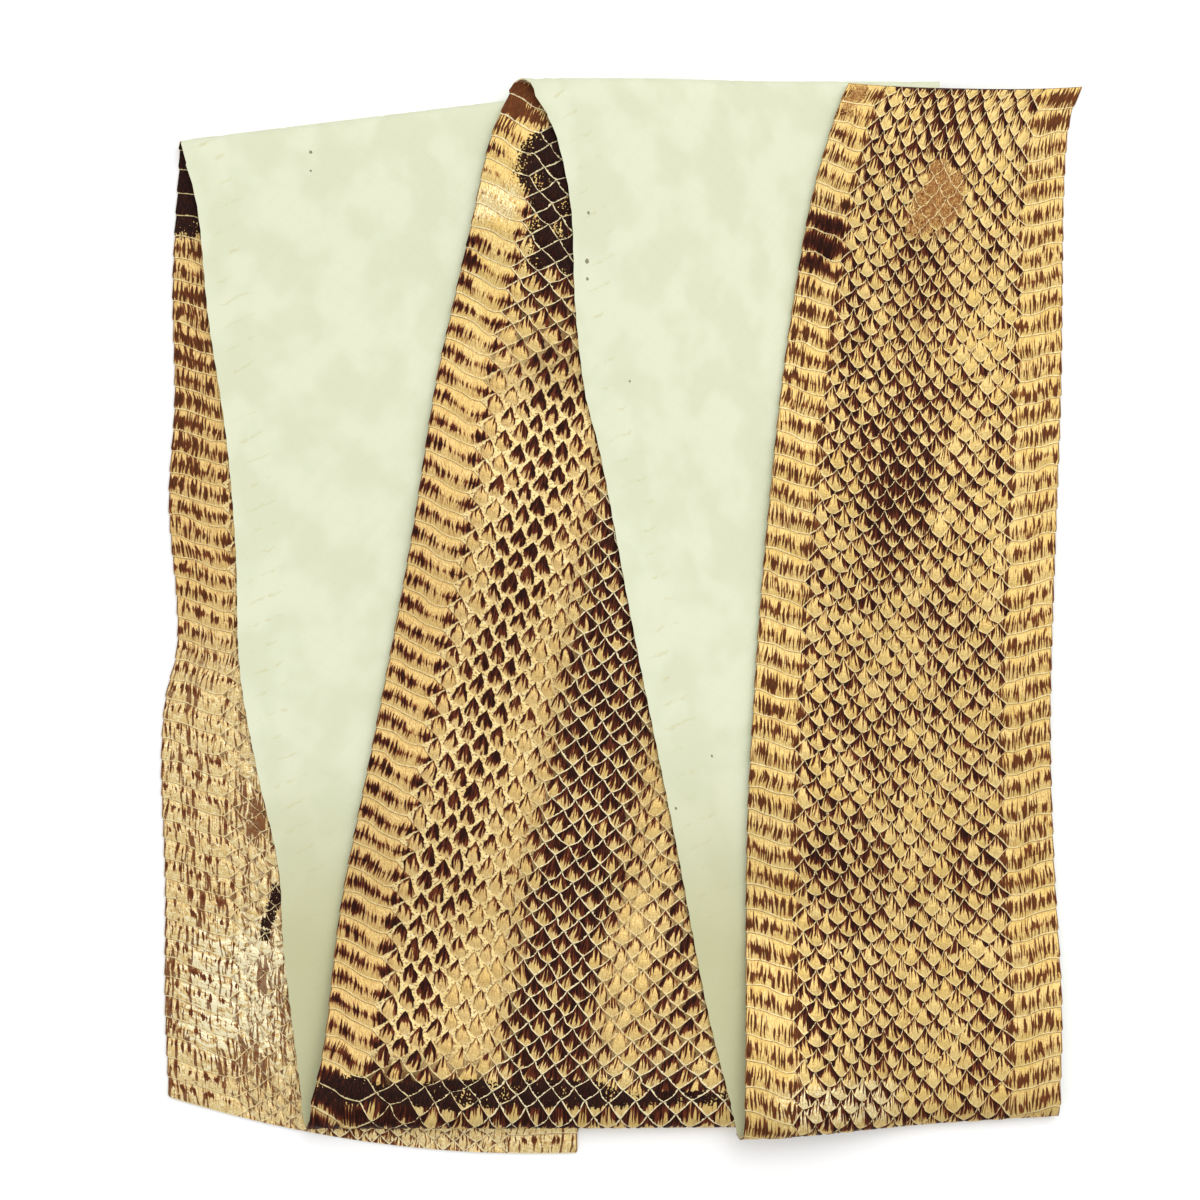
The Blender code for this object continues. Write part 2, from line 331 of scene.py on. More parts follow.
# A back scale's rear edges bulge out over the scales behind it, most on the side of the belly.
first_share = down_right - np.floor(down_right)
second_share = down_left - np.floor(down_left)
off_belly = smooth(np.minimum(column, cells - column))
side_bulge = BULGE_ON_LEFT - BULGE_LOST_ON_RIGHT * smooth(column / cells)
bulge = np.interp(row, *BULGE_AT) * side_bulge * off_belly
right_bulge = arch(second_share, bulge)
left_bulge = arch(first_share, bulge)
placed_column = column + (right_bulge - left_bulge) / 2
placed_row = row + (right_bulge + left_bulge) / 2

belly_share = np.interp(row, *BELLY_SHARE_AT)
back_share = placed_column / cells
back_share += np.interp(row, *NARROWING_AT) * np.sin(math.tau * placed_column / cells)
across = belly_share + (1 - 2 * belly_share) * back_share
across = np.where(column < 0, belly_share * (column / BELLY_SQUARES + 1), across)
right_belly = 1 - belly_share * (1 - (column - cells) / BELLY_SQUARES)
across = np.where(column > cells, right_belly, across)
inward = np.minimum(across, 1 - across)
lag = np.interp(row, *LAG_AT) * smooth(inward / belly_share)
lag += np.interp(row, *BACK_LAG_AT) * smooth((inward - belly_share) / (0.5 - belly_share))
ends = smooth(row / END_FADE) * smooth((SKIN_SCALES - row) / END_FADE)
along = placed_row + lag * ends + np.interp(row, *SLANT_AT) * (across - 0.5)

# Each scale wanders a little off its place, and the long edges and the ends keep theirs. The noise
# starts from the clock unless it has a seed, so a fixed one makes every run the same.
noise.seed_set(WANDER_SEED)
wander = [noise.noise_vector((x * WANDERS_IN_SCALE, y * WANDERS_IN_SCALE, 0.0))[:2]
          for x, y in zip(column, row)]
wander = np.array(wander) * WANDER
inside = smooth(inward / EDGE_BAND)
across = across + wander[:, 0] * inside * (1 - 2 * belly_share) / cells
along = np.clip(along + wander[:, 1] * ends, 0, SKIN_SCALES)


def scale_height(length, from_front, to_back):
    """How much of its relief a scale has, from its low front to the step at its back."""
    step = 1 - smooth((to_back - STEP_START) / STEP_LENGTH)
    return (LOW_FRONT + (1 - LOW_FRONT) * length) * step * smooth(from_front / FRONT_RISE)


length_share = (first_share + second_share) / 2
nearest_front = np.minimum(first_share, second_share)
nearest_back = np.maximum(first_share, second_share)
back_height = scale_height(length_share, nearest_front, nearest_back)
belly_row = row - np.floor(row)
belly_height = scale_height(belly_row, belly_row, belly_row)
halves = 0.5 - np.abs(belly_row - 0.5)
on_belly = np.minimum(column, cells - column) < halves - TINY
height = np.where(on_belly, BELLY_RELIEF * belly_height, BACK_RELIEF * back_height)

scale_side = flat[:, 2] > 0.5
places, sides = folded(along, across)
lift = np.where(scale_side, THICKNESS / 2 + height, -THICKNESS / 2)
tooth = EDGE_TOOTH * (belly_row - 0.5) * (inward < TINY)
outward_x = np.where(across < 0.5, -1.0, 1.0)
placed = places + sides * lift[:, None]
placed[:, 0] += outward_x * tooth
placed[:, 2] = np.maximum(placed[:, 2], 0)
skin_mesh.vertices.foreach_set("co", placed.ravel())
skin_mesh.flip_normals()


def keep_on_mesh(name, *values):
    """Keep three numbers for every vertex, which the finishes read."""
    layer = skin_mesh.attributes.new(name, "FLOAT_VECTOR", "POINT")
    layer.data.foreach_set("vector", np.column_stack(values).astype(float).ravel())


keep_on_mesh("net", column, row, cells - column)
keep_on_mesh("place", across, along, scale_side)
skin_mesh.shade_smooth()
skin_mesh.set_sharp_from_angle(angle=math.radians(SHARP_DEGREES))
skin_mesh.update()

# The wear and the painted light. How dark each scale is printed, where the foil is lost and blackened,
# where a dark reflection and highlights are painted, and where the skin is worn bare, is kept on the mesh.
# A mark is a soft oval: its place across and along the skin, as a share of the width and a count of belly
# scales, its reach both ways, and its strength.
SADDLES = (
    (0.44, 1.5, 0.2, 5.0, 0.2), (0.47, 8.5, 0.14, 4.0, 0.2), (0.46, 16.6, 0.18, 7.0, 0.26),
    (0.38, 18.0, 0.12, 4.0, 0.14), (0.7, 30.0, 0.16, 9.0, 0.08), (0.35, 33.0, 0.16, 7.0, 0.07),
    (0.6, 19.6, 0.05, 1.5, -0.3), (0.31, 129.5, 0.1, 4.0, -0.2), (0.61, 127.6, 0.08, 4.0, -0.2),
    (0.28, 97.5, 0.16, 4.5, 0.3), (0.5, 134.4, 0.9, 0.8, 0.08), (0.5, 135.3, 0.9, 0.6, -0.4),
    (0.3, 106.0, 0.2, 9.0, 0.1),
)
# Stains on the belly scales. The mark at scale 133.9 is painted dark reflection on the third layer's lower
# fold, and the lightening at 94.8 is part of a painted highlight.
BELLY_STAINS_AND_PAINTED_LIGHT = (
    (0.09, 7.3, 0.12, 2.0, 0.4), (0.98, 0.9, 0.12, 2.0, 0.25), (0.03, 11.5, 0.06, 3.5, 0.14),
    (0.08, 90.2, 0.3, 1.6, 0.6), (0.22, 91.4, 0.14, 1.4, 0.5), (0.0, 97.2, 0.05, 1.6, 0.2),
    (0.04, 94.8, 0.14, 2.4, -0.3), (0.05, 190.0, 0.3, 8.0, 0.12), (0.02, 133.9, 0.24, 1.9, 0.28),
)
# Blackened marks: foil lost near the tops of the third and last layers, three scratches on the last layer,
# and a painted dark reflection along the curve of the third layer's lower fold.
FOIL_LOSS_AND_DARK_REFLECTION = (
    (0.2, 93.1, 0.18, 1.9, 1.2), (0.23, 94.4, 0.15, 5.4, 1.35), (0.06, 133.2, 0.08, 0.8, 0.8),
    (0.2, 133.5, 0.26, 0.7, 1.1), (0.45, 133.5, 0.26, 0.8, 1.2), (0.74, 133.7, 0.3, 0.5, 0.62),
    (0.05, 181.0, 0.16, 3.8, 1.5), (0.263, 215.1, 0.018, 0.9, 1.0), (0.25, 216.0, 0.018, 0.9, 1.0),
    (0.237, 216.9, 0.018, 0.9, 1.0),
)
# Painted highlights: pale shine on the foil where it curves into a fold and where it is crinkled.
PAINTED_HIGHLIGHTS = (
    (0.04, 95.0, 0.11, 1.6, 0.42), (0.17, 220.3, 0.2, 5.0, 0.56), (0.24, 216.0, 0.1, 5.0, 0.2),
    (0.3, 43.6, 0.36, 1.5, 0.45), (0.55, 132.7, 0.45, 1.1, 0.3), (0.205, 210.5, 0.03, 3.0, 0.3),
)
BARE = (
    (0.48, 4.5, 0.06, 1.2, 0.9), (0.53, 5.2, 0.1, 1.7, 0.9), (0.46, 6.1, 0.12, 1.8, 0.8),
    (0.04, 0.8, 0.12, 2.2, 0.5),
)
PATCHES = (
    (0.23, 219.4, 0.05, 1.4, 0.22), (0.2, 223.4, 0.08, 1.3, 0.24), (0.115, 215.8, 0.05, 1.4, 0.2),
    (0.0, 222.5, 0.03, 7.0, 0.26), (0.06, 206.0, 0.03, 26.0, 0.12), (0.32, 214.0, 0.07, 4.0, 0.1),
    (0.3, 221.0, 0.06, 2.5, 0.2), (0.2, 210.3, 0.06, 1.2, 0.22), (0.22, 211.8, 0.04, 1.6, 0.2),
)

# The parts of the skin. A part starts at a belly scale, or a share of the width, and is full a reach
# further on. A stripe or a place has its middle and its reach. A drift has the width and the length
# of its lumps, and its own layer of the noise.
BODY_START = (60, 10)
BACK_STRIPE_START = (96, 14)
LEAVES_START = (98, 7)
LOWER_START = (104, 14)
RIGHT_STRIPE_START = (114, 10)
TAIL_START = (180, 3)
FOIL_START = (199, 8)
BACK_STRIPE = (0.48, 0.15)
RIGHT_STRIPE = (0.73, 0.08)
RIGHT_FLANK_START = (0.56, 0.08)
NECK_FLANK_START = (0.2, 0.35)
FLANK_STRIPE_MIDDLE = 0.262
FLANK_STRIPE_REACH = 0.095
FLANK_STRIPE_ROW = 105
FLANK_STRIPE_SLANT = 0.003
CRISP_FOLD = (133.8, 3.0)
CLOSED_FOLD = (134.6, 3.4)
BROWN_FOLD = (90, 3)
PALE_BELLY_ALONG = (7.3, 2.5)
PALE_BELLY_ACROSS = (0.09, 0.2)
SLOW_DRIFT = (2.6, 3.2, 4.0)
QUICK_DRIFT = (0.8, 1.1, 9.0)
BACK_DARKNESS = 0.27
BELLY_DARKNESS = 0.04
BACK_STRIPE_DARKNESS = 0.34
FLANK_STRIPE_DARKNESS = 0.42
RIGHT_STRIPE_DARKNESS = 0.26
NECK_LEAF_WIDTH = 0.28
BODY_LEAF_WIDTH = 0.3
NECK_LEFT_BELLY = (0.25, 0.7)
NECK_RIGHT_BELLY = (0.45, 0.6)
FULL_SHARE = 0.3


def near(value, middle, reach):
    """1 close to a value, and 0 from a distance on."""
    return 1 - smooth((np.abs(value - middle) - FULL_SHARE * reach) / ((1 - FULL_SHARE) * reach))


def risen(value, start, reach):
    """0 up to a start, and 1 from a reach beyond it."""
    return smooth((value - start) / reach)


def marked(places):
    """The strength of a list of marks, at every vertex."""
    total = np.zeros(count)
    for middle, scale, reach_across, reach_along, strength in places:
        total += near(across, middle, reach_across) * near(along, scale, reach_along) * strength
    return total


def drifting(width, length, layer):
    """Slow, soft noise from -1 to 1, so wide and so long in columns and rows."""
    return np.array([noise.noise((x / width, y / length, layer)) for x, y in zip(column, row)])


body = risen(along, *BODY_START)
neck = 1 - body
from_edge = np.minimum(column, cells - column) / BELLY_SQUARES + 1
left_half = across < 0.5
lower = risen(along, *LOWER_START)
leafy = risen(along, *LEAVES_START)
back_stripe = body * near(across, *BACK_STRIPE) * risen(along, *BACK_STRIPE_START)
flank_path = FLANK_STRIPE_MIDDLE - (along - FLANK_STRIPE_ROW) * FLANK_STRIPE_SLANT
flank_stripe = body * near(across, flank_path, FLANK_STRIPE_REACH) * leafy
right_stripe = body * near(across, *RIGHT_STRIPE) * risen(along, *RIGHT_STRIPE_START)
right_flank = body * risen(across, *RIGHT_FLANK_START)
foil = risen(along, *FOIL_START)
tail = risen(along, *TAIL_START)

# How far the brown print reaches from a scale's front.
drift = drifting(*SLOW_DRIFT)
darkness = BACK_DARKNESS + 0.05 * drift * (1 + 2 * neck) - 0.07 * body - 0.3 * foil
stripes = BACK_STRIPE_DARKNESS * back_stripe + FLANK_STRIPE_DARKNESS * flank_stripe
darkness += stripes + RIGHT_STRIPE_DARKNESS * right_stripe + marked(SADDLES)
neck_belly = np.where(left_half, near(from_edge, *NECK_LEFT_BELLY), near(from_edge, *NECK_RIGHT_BELLY))
body_belly = np.where(left_half, near(from_edge, 0.1 + 0.2 * lower, 0.5 + 0.1 * lower), 0.3)
belly_reach = neck_belly * neck * 0.1
belly_reach += body_belly * body * 0.19
belly_darkness = BELLY_DARKNESS - 0.06 * body + belly_reach * (1 - 0.6 * foil)
belly_darkness = belly_darkness + 0.09 * drifting(*QUICK_DRIFT)
belly_darkness += marked(BELLY_STAINS_AND_PAINTED_LIGHT) - 0.1 * foil
darkness = np.where(from_edge < 1, belly_darkness, darkness)

# How broad the leaf in a back scale is, and how bright its rear edge. The print creeps up its sides
# and leans to one side, and shows between the leaves where they stand apart.
leaf_width = neck * (NECK_LEAF_WIDTH + 0.08 * risen(across, *NECK_FLANK_START))
leaf_width += body * (BODY_LEAF_WIDTH - 0.06 * leafy + 0.1 * back_stripe + 0.06 * right_flank)
crisp = neck * 0.5 + body * (0.15 + 0.85 * np.maximum(back_stripe, 0.5 * right_flank))
crisp += body * (0.6 * (1 - leafy) + 0.4 * near(along, *CRISP_FOLD)) + 0.35 * foil
crisp = np.minimum(crisp, 1)
side_reach = neck * 0.42 + body * (0.4 + 0.25 * back_stripe)
lean = neck * 0.9 + body * (0.5 - 1.8 * right_flank * (1 - back_stripe))
between = body * (1 - back_stripe) * (1 - 0.55 * right_flank) * leafy * (1 - 0.6 * foil)
between = between * (1 - near(along, *CLOSED_FOLD))

# How light the brown is on the belly scales.
brownness = neck * np.where(left_half, 0.6, 0.8) + 0.6 * tail + 0.9 * near(along, *BROWN_FOLD)
brownness -= 0.6 * near(along, *PALE_BELLY_ALONG) * near(across, *PALE_BELLY_ACROSS)
keep_on_mesh("wear", darkness, leaf_width, crisp)
# Blackened foil with the painted dark reflection, the painted highlights, and the bare wear.
keep_on_mesh("marks_and_painted_light", marked(FOIL_LOSS_AND_DARK_REFLECTION), marked(PAINTED_HIGHLIGHTS), marked(BARE))
keep_on_mesh("foil", foil, brownness, between)
keep_on_mesh("shape", side_reach, lean, marked(PATCHES))

# The finishes. The scale side is printed with brown and covered with gold foil, which has worn
# through at the scales' fronts and in streaks; the flesh side is bare, pale suede. Both follow the
# net of scales, whose columns and rows are kept on the mesh.
COLOUR_A = 6
COLOUR_B = 7
COLOUR_MIXED = 2
NOISE_SHIFT = 17.3


class Shade:
    """A value in a material: sums on it add Math nodes, and node() adds a node of any other type."""

    def __init__(self, tree, socket=None):
        self.tree = tree
        self.socket = socket

    def node(self, kind, settings, inputs, output=0):
        """Add a node: its settings are set first, then the values or links of its sockets."""
        added = self.tree.nodes.new(kind)
        for name, setting in settings.items():
            setattr(added, name, setting)
        for name, value in inputs.items():
            if isinstance(value, Shade):
                self.tree.links.new(value.socket, added.inputs[name])
            else:
                added.inputs[name].default_value = value
        return Shade(self.tree, added.outputs[output])

    def math(self, operation, *values):
        """Add a Math node on this value and the others."""
        return self.node("ShaderNodeMath", {"operation": operation}, dict(enumerate((self, *values))))

    def __add__(self, other):
        return self.math("ADD", other)

    def __sub__(self, other):
        return self.math("SUBTRACT", other)

    def __mul__(self, other):
        return self.math("MULTIPLY", other)

    def __truediv__(self, other):
        return self.math("DIVIDE", other)

    def __rsub__(self, other):
        return self * -1 + other

    __radd__ = __add__
    __rmul__ = __mul__

    def least(self, other):
        return self.math("MINIMUM", other)

    def most(self, other):
        return self.math("MAXIMUM", other)

    def whole(self):
        return self.math("FLOOR")

    def part(self):
        return self.math("FRACT")

    def size(self):
        return self.math("ABSOLUTE")

    def over(self, low, high):
        """0 below one value and 1 above the other, with a smooth rise between them."""
        settings = {"interpolation_type": "SMOOTHSTEP"}
        return self.node("ShaderNodeMapRange", settings, {"Value": self, "From Min": low, "From Max": high})

    def near(self, middle, reach):
        """1 close to a value, and 0 from a distance on."""
        return 1 - (self - middle).size().over(reach * FULL_SHARE, reach)

    def numbers(self):
        """The three numbers of a vector."""
        return [self.node("ShaderNodeSeparateXYZ", {}, {0: self}, index) for index in range(3)]

    def attribute(self, name):
        """The three numbers that the mesh keeps under a name."""
        return self.node("ShaderNodeAttribute", {"attribute_name": name}, {}, "Vector").numbers()

    def vector(self, *numbers):
        return self.node("ShaderNodeCombineXYZ", {}, dict(enumerate(numbers)))

    def cloud(self, x, y, layer=0.0, detail=2.0):
        """Soft noise from 0 to 1, about one lump to a unit, and different on each layer."""
        inputs = {"Vector": self.vector(x + layer * NOISE_SHIFT, y), "Scale": 1.0, "Detail": detail}
        return self.node("ShaderNodeTexNoise", {"noise_dimensions": "2D"}, inputs)

    def blend(self, start, end):
        """The start colour where this value is 0, and the end colour where it is 1."""
        inputs = {"Factor": self, COLOUR_A: start, COLOUR_B: end}
        return self.node("ShaderNodeMix", {"data_type": "RGBA"}, inputs, COLOUR_MIXED)


STUDIO_SHARE = 0.86


def seen(red, green, blue):
    """A colour as it is seen in the studio's light, from 0 to 255, as the share of light it sends back."""
    shares = [value / 255 for value in (red, green, blue)]
    light = [share / 12.92 if share < 0.04 else ((share + 0.055) / 1.055) ** 2.4 for share in shares]
    return (*[STUDIO_SHARE * share for share in light], 1)


def new_finish(name):
    """A new material on the skin, with its surface shader and a Shade to build on."""
    material = bpy.data.materials.new(name)
    material.use_nodes = True
    skin_mesh.materials.append(material)
    return material.node_tree.nodes["Principled BSDF"], Shade(material.node_tree)


def feed(shader, name, shade):
    shade.tree.links.new(shade.socket, shader.inputs[name])


def press(shader, height, strength, distance):
    """Raise the surface's light by a height, with a Bump node."""
    inputs = {"Height": height, "Strength": strength, "Distance": distance}
    feed(shader, "Normal", height.node("ShaderNodeBump", {}, inputs))


# The gilded scale side.
GOLD = seen(222, 191, 114)
TAN_GOLD = seen(208, 166, 99)
PALE_GOLD = seen(243, 221, 160)
BROWN = seen(146, 90, 46)
RED_BROWN = seen(106, 50, 30)
BLACK_BROWN = seen(40, 16, 10)
# The near-black and deep brown of lost foil, also used for the painted dark reflection.
LOSS_AND_REFLECTION_BROWN = seen(70, 30, 18)
LOSS_AND_REFLECTION_BLACK = seen(30, 13, 8)
CREAM = seen(250, 236, 190)
HIGHLIGHT_WHITE = seen(255, 247, 208)
SCALE_BORDER = (-0.004, 0.004)
BACK_HALF = (0.46, 0.54)
BELLY_BACK_HALF = (0.45, 0.55)
LEAF_MIDDLE = 0.52
LEAF_RIM = (0.94, 1.06)
LEAF_OUTLINE = (0.55, 0.8)
PRINT_RIM = (-0.015, 0.025)
BROWN_RIM = (-0.17, 0.0)
EDGE_SHADOW_RIM = (0.012, 0.03)
BARE_RIM = (0.36, 0.52)
BLACKENING_RIM = (0.44, 0.6)
HIGHLIGHT_RIM = (0.25, 0.6)
GOLD_METALLIC = 0.65
GOLD_ROUGHNESS = 0.44
GOLD_SPECULAR = 0.08
GRAIN_STRENGTH = 0.5
GRAIN_DEPTH = 0.12 * MM
shader, paint = new_finish("gilded_scales")
column, row, far_column = paint.attribute("net")
darkness, leaf_width, crisp = paint.attribute("wear")
foil_loss_and_reflection, painted_highlight, bare = paint.attribute("marks_and_painted_light")
foil, brownness, between = paint.attribute("foil")
side_reach, lean, patch = paint.attribute("shape")
inner = column.least(far_column)
down_right = row + column
down_left = row - column
first_edge = down_right.part()
second_edge = down_left.part()
cell = {"Vector": paint.vector(down_right.whole(), down_left.whole(), 0.0)}
dark_chance, glint_chance, streak_chance = paint.node("ShaderNodeTexWhiteNoise", {}, cell, "Color").numbers()
length_share = (first_edge + second_edge) / 2
side = (first_edge - second_edge) / 2
belly_part = row.part()
halves = 0.5 - (belly_part - 0.5).size()
belly_tip = halves - inner
is_belly = belly_tip.over(*SCALE_BORDER)
is_back = 1 - is_belly
grain = paint.cloud(column * 12.0, row * 11.0, layer=2.0, detail=0.0)
offset = streak_chance * 9.0 * is_back + row.whole() * 3.7 * is_belly
streak = paint.cloud(column * 11.0, row * 1.1 + offset, layer=1.0, detail=1.0).over(0.28, 0.72)
thin_streak = paint.cloud(column * 26.0, row * 3.0, layer=5.0, detail=1.0).over(0.45, 0.75)
wrinkle = paint.cloud(column * 4.0, row * 5.0, layer=6.0, detail=1.0)
crease = 1 - (wrinkle - 0.5).size().over(0.005, 0.035)
crackle_kind = {"feature": "DISTANCE_TO_EDGE", "voronoi_dimensions": "2D"}
crackle_inputs = {"Vector": paint.vector(column * 3.3, row * 3.0, 4.0), "Scale": 1.0}
crackle = paint.node("ShaderNodeTexVoronoi", crackle_kind, crackle_inputs)
crack = 1 - (crackle + (grain - 0.5) * 0.08).over(0.01, 0.07)
smear = paint.cloud(column * 8.0, row * 0.4, layer=11.0, detail=1.0)

# A back scale is a leaf within its diamond, pointed in front and round behind. The print shows dark
# on its front, down both its sides and in pointed streaks between; its rear edge is a cream line in
# the skin, brightened as a painted highlight on the raised edge.
side_share = (side + 0.02).size() / leaf_width
pointed = 1 - length_share.over(0.42, 0.62)
leaf_length = (length_share - LEAF_MIDDLE) * 2.0
leaf = side_share * (side_share + (1 - side_share) * pointed) + leaf_length * leaf_length
leaf = leaf + (wrinkle - 0.5) * 0.5
outside = leaf.over(*LEAF_RIM) * between
outline = leaf.over(*LEAF_OUTLINE) * between * (1 - length_share.over(0.6, 0.9)) * (0.5 + 0.5 * streak)
front_reach = (darkness + (dark_chance - 0.5) * 0.26) * (1 + side * lean)
worn = front_reach + side_share * side_share * side_reach + (streak - 0.5) * 0.5 - length_share
diamond = (first_edge - 0.5).size().most((second_edge - 0.5).size()) * 2
line_width = 0.02 + 0.1 * crisp + (grain - 0.5) * 0.18 + (wrinkle - 0.5) * 0.16
rear = length_share.over(*BACK_HALF)
line = (diamond + line_width).over(0.98, 1.02) * rear * crisp.over(0.0, 0.62)

# A belly scale's print shows in a ragged blotch of upright strokes, from its middle.
from_edge = inner / 2 + 1
belly_rim = halves.least(belly_tip * 0.7)
belly_middle = (belly_part - 0.55 + foil * 0.22).size()
belly_worn = darkness + (streak - 0.5) * (0.34 + 0.4 * brownness) - belly_middle
belly_front = (1 - (belly_rim + (grain - 0.5) * 0.03).over(0.01, 0.045))
belly_front = belly_front * (1 - belly_part.over(*BELLY_BACK_HALF))
belly_line = (1 - (belly_rim + (grain - 0.5) * 0.06).over(0.03, 0.06))
belly_line = belly_line * belly_part.over(*BELLY_BACK_HALF) * 0.8
# Painted shadow: a thin dark line along the skin's cut edge, on the belly scales.
edge_shadow = 1 - from_edge.over(*EDGE_SHADOW_RIM)

worn = worn + (belly_worn - worn) * is_belly
outside = outside * is_back
dark = worn.over(*PRINT_RIM).most(outline * 0.85 * is_back) * (1 - outside)
dark = dark.most((belly_front * 0.7).most(edge_shadow * 0.8) * is_belly)
streaked = smear + (streak - 0.5) * 0.3 + (grain - 0.5) * 0.1 + patch
strokes = thin_streak * (1 - belly_middle.over(0.12, 0.4)) * is_belly
dark = dark.most(foil * streaked.over(0.63, 0.7) * 0.9)
brown = worn.over(*BROWN_RIM) * (1 - outside)
line = line + (belly_line - line) * is_belly
# Partly painted highlight: back scales are paler towards their raised rear, with glints on single scales;
# the gold is also paler between the leaves and on the crinkled foil.
pale = glint_chance * 0.35 + length_share.over(0.6, 1.0) * is_back * 0.4 + outside * 0.2
pale = pale + between * 0.25 + foil * 0.5
gold = pale.blend(GOLD, PALE_GOLD)
gold = (between * (1 - outside) * 0.4 + thin_streak * 0.3).blend(gold, TAN_GOLD)
gold = (foil * streaked.over(0.44, 0.6) * 0.3).blend(gold, TAN_GOLD)
browned = thin_streak * (0.34 + brown * 0.5) * (1 - outside) + brown * 0.45 + strokes * 0.34
gold = browned.blend(gold, BROWN)
gold = (outside * (1 - grain.over(0.3, 0.42)) * 0.75).blend(gold, RED_BROWN)
gold = (crease * (0.1 + 0.6 * outside.most(foil))).blend(gold, CREAM)
# Painted glints: the crinkled foil shows pale cream facets between its dark cracks.
crackled = crack * foil
gold = (crackled * wrinkle.over(0.5, 0.54)).blend(gold, CREAM)
depth = worn.over(0.0, 0.45 - is_belly * 0.15) * 0.9 + streak * 0.35 - thin_streak * 0.5
printed = (depth * (1 - brownness * 0.4 * is_belly)).blend(RED_BROWN, BLACK_BROWN)
printed = (brownness * is_belly * (0.3 + 0.3 * thin_streak) + foil * 0.3 * is_back).blend(printed, BROWN)
colour = dark.blend(gold, printed)
colour = (crackled * (1 - wrinkle.over(0.42, 0.48)) * (0.2 + painted_highlight * 1.2)).blend(colour, RED_BROWN)
torn = (grain - 0.5) * 0.9 + (thin_streak - 0.4) * 0.5 + (wrinkle - 0.5) * 1.2 + (dark_chance - 0.5) * 0.6
ragged = (bare * (1 + torn)).over(*BARE_RIM)
fibres = (streak * 0.7 + (grain - 0.5) * 2.4 + (wrinkle - 0.5) * 2.0 - 0.12).blend(BROWN, TAN_GOLD)
colour = (ragged * 0.94).blend(colour, fibres)
# Painted dark reflection along the third layer's lower fold, together with blackened lost foil and
# scratches, in near-black and deep brown.
blackening_noise = (dark_chance - 0.5) * is_back * (1 - foil) + (grain - 0.5) * 1.2 + (streak - 0.5) * 0.4
blackened_and_reflected = (foil_loss_and_reflection * (1 + blackening_noise)).over(*BLACKENING_RIM)
colour = blackened_and_reflected.blend(colour, (thin_streak * 0.7 + grain - 0.5).blend(LOSS_AND_REFLECTION_BLACK, LOSS_AND_REFLECTION_BROWN))
# Painted highlight: pale shine where the foil curves into a fold and where it is crinkled.
highlight_mask = painted_highlight + (wrinkle - 0.5) * 1.6 * foil + (grain - 0.5) * 0.4 - thin_streak * 0.2
highlight_mask = highlight_mask.over(*HIGHLIGHT_RIM)
colour = (highlight_mask * (1 - dark) * (1 - blackened_and_reflected) * 0.8).blend(colour, HIGHLIGHT_WHITE)
# The cream line on each scale's rear edge, partly a painted highlight on the raised edge.
colour = (line * (1 + ragged * 0.5)).blend(colour, crisp.over(0.3, 0.9).blend(PALE_GOLD, CREAM))
feed(shader, "Base Color", colour)
feed(shader, "Metallic", GOLD_METALLIC - dark * 0.3 - (ragged + blackened_and_reflected) * 0.4)
feed(shader, "Roughness", GOLD_ROUGHNESS + (grain - 0.5) * 0.2 + dark * 0.1 - highlight_mask * 0.12)
shader.inputs["Specular IOR Level"].default_value = GOLD_SPECULAR
press(shader, grain, GRAIN_STRENGTH, GRAIN_DEPTH)

# The flesh side: pale suede, with the scales' outlines showing faintly through.
SUEDE = seen(233, 236, 207)
SUEDE_SHADE = seen(225, 229, 198)
SUEDE_YELLOW = seen(212, 203, 150)
SHADOW_OLIVE = seen(196, 194, 150)
SPECK_GREY = seen(112, 100, 78)
SUEDE_ROUGHNESS = 0.82
SUEDE_SPECULAR = 0.2
NAP_STRENGTH = 0.4
NAP_DEPTH = 0.1 * MM
SHADED_EDGE = (0.04, 0.24)
FIRST_TURN = (47.0, 16.0)
SECOND_TURN = (137.0, 16.0)
SEAM = (-0.8, 1.0)

# Small dirt specks: place across and along the skin, and reach as a share of the width.
SCALES_TO_WIDTH = 20.0
SPECKS = (
    (0.045, 83.0, 0.004), (0.035, 81.1, 0.006), (0.035, 80.4, 0.004), (0.12, 76.3, 0.003),
    (0.15, 60.9, 0.0035), (0.02, 58.8, 0.004), (0.27, 176.6, 0.003), (0.28, 177.4, 0.004),
)
shader, paint = new_finish("pale_flesh_side")
column, row, far_column = paint.attribute("net")
across, along, _ = paint.attribute("place")
# Painted shadow: olive shade on the flesh side near its edge, just past the two lower folds, under the edge
# of the layer above.
turned_up = along.near(*FIRST_TURN) + along.near(*SECOND_TURN)
shade = 0.85 * across.near(*SHADED_EDGE) * turned_up
blotch = paint.cloud(column * 0.5, row * 0.4, layer=3.0, detail=2.0)
nap = paint.cloud(column * 22.0, row * 20.0, layer=5.0, detail=1.0)
patchy = paint.cloud(column * 1.7, row * 2.3, layer=8.0, detail=2.0)
inner = column.least(far_column)
seam = (1 - (row.part() - 0.5 + (patchy - 0.5) * 0.5).size().over(0.0, 0.1)) * inner.near(*SEAM)
seam = seam * patchy.over(0.42, 0.62)
diamond = ((row + column).part() - 0.5).size().most(((row - column).part() - 0.5).size())
imprint = diamond.over(0.36, 0.5) * inner.over(0.0, 0.5)
colour = blotch.over(0.35, 0.65).blend(SUEDE, SUEDE_SHADE)
colour = (seam * 0.45 + imprint * 0.05).blend(colour, SUEDE_YELLOW)
colour = shade.blend(colour, SHADOW_OLIVE)
for middle, scale, reach in SPECKS:
    beside = (across - middle) / reach
    beyond = (along - scale) / (reach * SCALES_TO_WIDTH)
    speck = 1 - (beside * beside + beyond * beyond + nap - 0.5).over(0.5, 1.0)
    colour = (speck * 0.8).blend(colour, SPECK_GREY)
feed(shader, "Base Color", colour)
feed(shader, "Roughness", SUEDE_ROUGHNESS + (nap - 0.5) * 0.2)
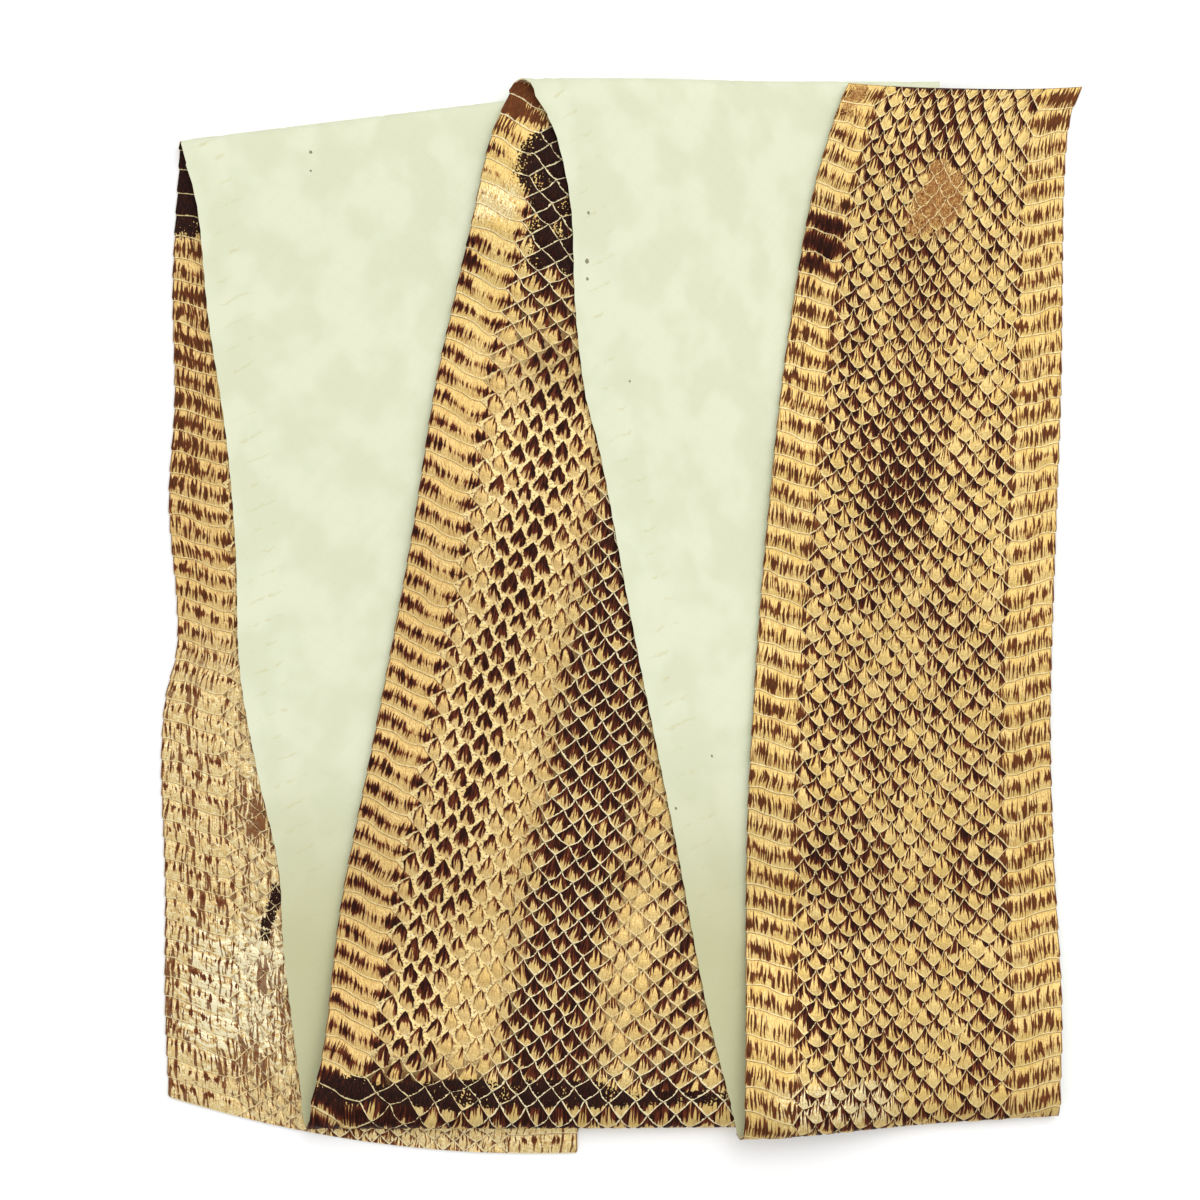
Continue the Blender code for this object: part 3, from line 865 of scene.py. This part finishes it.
shader.inputs["Specular IOR Level"].default_value = SUEDE_SPECULAR
press(shader, nap + blotch * 0.5 - imprint * 0.25, NAP_STRENGTH, NAP_DEPTH)

# The cut edge, brown where the print has run over it.
EDGE_BROWN = seen(88, 52, 30)
EDGE_CREAM = seen(214, 196, 148)
EDGE_ROUGHNESS = 0.7
shader, paint = new_finish("cut_edge")
_, row, _ = paint.attribute("net")
_, _, scale_side = paint.attribute("place")
printed = (scale_side + paint.cloud(row * 3.0, scale_side * 2.0) - 0.5).over(0.2, 0.8)
feed(shader, "Base Color", printed.blend(EDGE_CREAM, EDGE_BROWN))
feed(shader, "Roughness", EDGE_ROUGHNESS + paint.cloud(row * 9.0, scale_side * 3.0) * 0.2)

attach(skin, "root")
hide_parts("snake_skin")

# The floor is a sheet of matt white paper.
FLOOR_SIZE = 12
PAPER_WHITE = (0.96, 0.96, 0.96, 1)
PAPER_ROUGHNESS = 0.9
bpy.ops.mesh.primitive_plane_add(size=FLOOR_SIZE)
floor = bpy.context.object
floor.name = "floor"
paper = bpy.data.materials.new("white_paper")
paper.use_nodes = True
paper.node_tree.nodes["Principled BSDF"].inputs["Base Color"].default_value = PAPER_WHITE
paper.node_tree.nodes["Principled BSDF"].inputs["Roughness"].default_value = PAPER_ROUGHNESS
floor.data.materials.append(paper)

# The camera looks straight down. The middle of its view is given in pixels of the photo.
PIXEL = 0.26 * MM
PHOTO_PIXELS = 1200
VIEW_RIGHT = -23
VIEW_UP = 18
LENS = 100
SENSOR = 36
camera = bpy.data.objects.new("camera", bpy.data.cameras.new("camera"))
bpy.context.scene.collection.objects.link(camera)
camera.data.lens = LENS
camera.data.sensor_width = SENSOR
camera_height = PHOTO_PIXELS * PIXEL * LENS / SENSOR
camera.location = (VIEW_RIGHT * PIXEL - PILE_MIDDLE.x * MM, VIEW_UP * PIXEL, camera_height)
bpy.context.scene.camera = camera

# The light is a soft lamp high up behind the pile, and a white sky that is brighter overhead.
LAMP_SIZE = 1.2
LAMP_WATTS = 9
LAMP_PLACE = (0.35, 0.55, 1.3)
SKY_WHITE = (1, 1, 1, 1)
SKY_AT_HORIZON = 0.42
SKY_GAIN = 0.55
SKY_FULL_UP = 0.75
lamp = bpy.data.objects.new("overhead", bpy.data.lights.new("overhead", "AREA"))
lamp.data.shape = "SQUARE"
lamp.data.size = LAMP_SIZE
lamp.data.energy = LAMP_WATTS
lamp.location = LAMP_PLACE
lamp.rotation_euler = Vector(lamp.location).to_track_quat("Z", "Y").to_euler()
bpy.context.scene.collection.objects.link(lamp)
world = bpy.data.worlds.new("studio")
bpy.context.scene.world = world
world.use_nodes = True
sky = Shade(world.node_tree)
up = sky.node("ShaderNodeTexCoord", {}, {}, "Generated").numbers()[2]
brightness = SKY_AT_HORIZON + SKY_GAIN * up.over(0.0, SKY_FULL_UP)
light = world.node_tree.nodes["Background"]
light.inputs["Color"].default_value = SKY_WHITE
world.node_tree.links.new(brightness.socket, light.inputs["Strength"])
bpy.context.scene.view_settings.view_transform = "Standard"
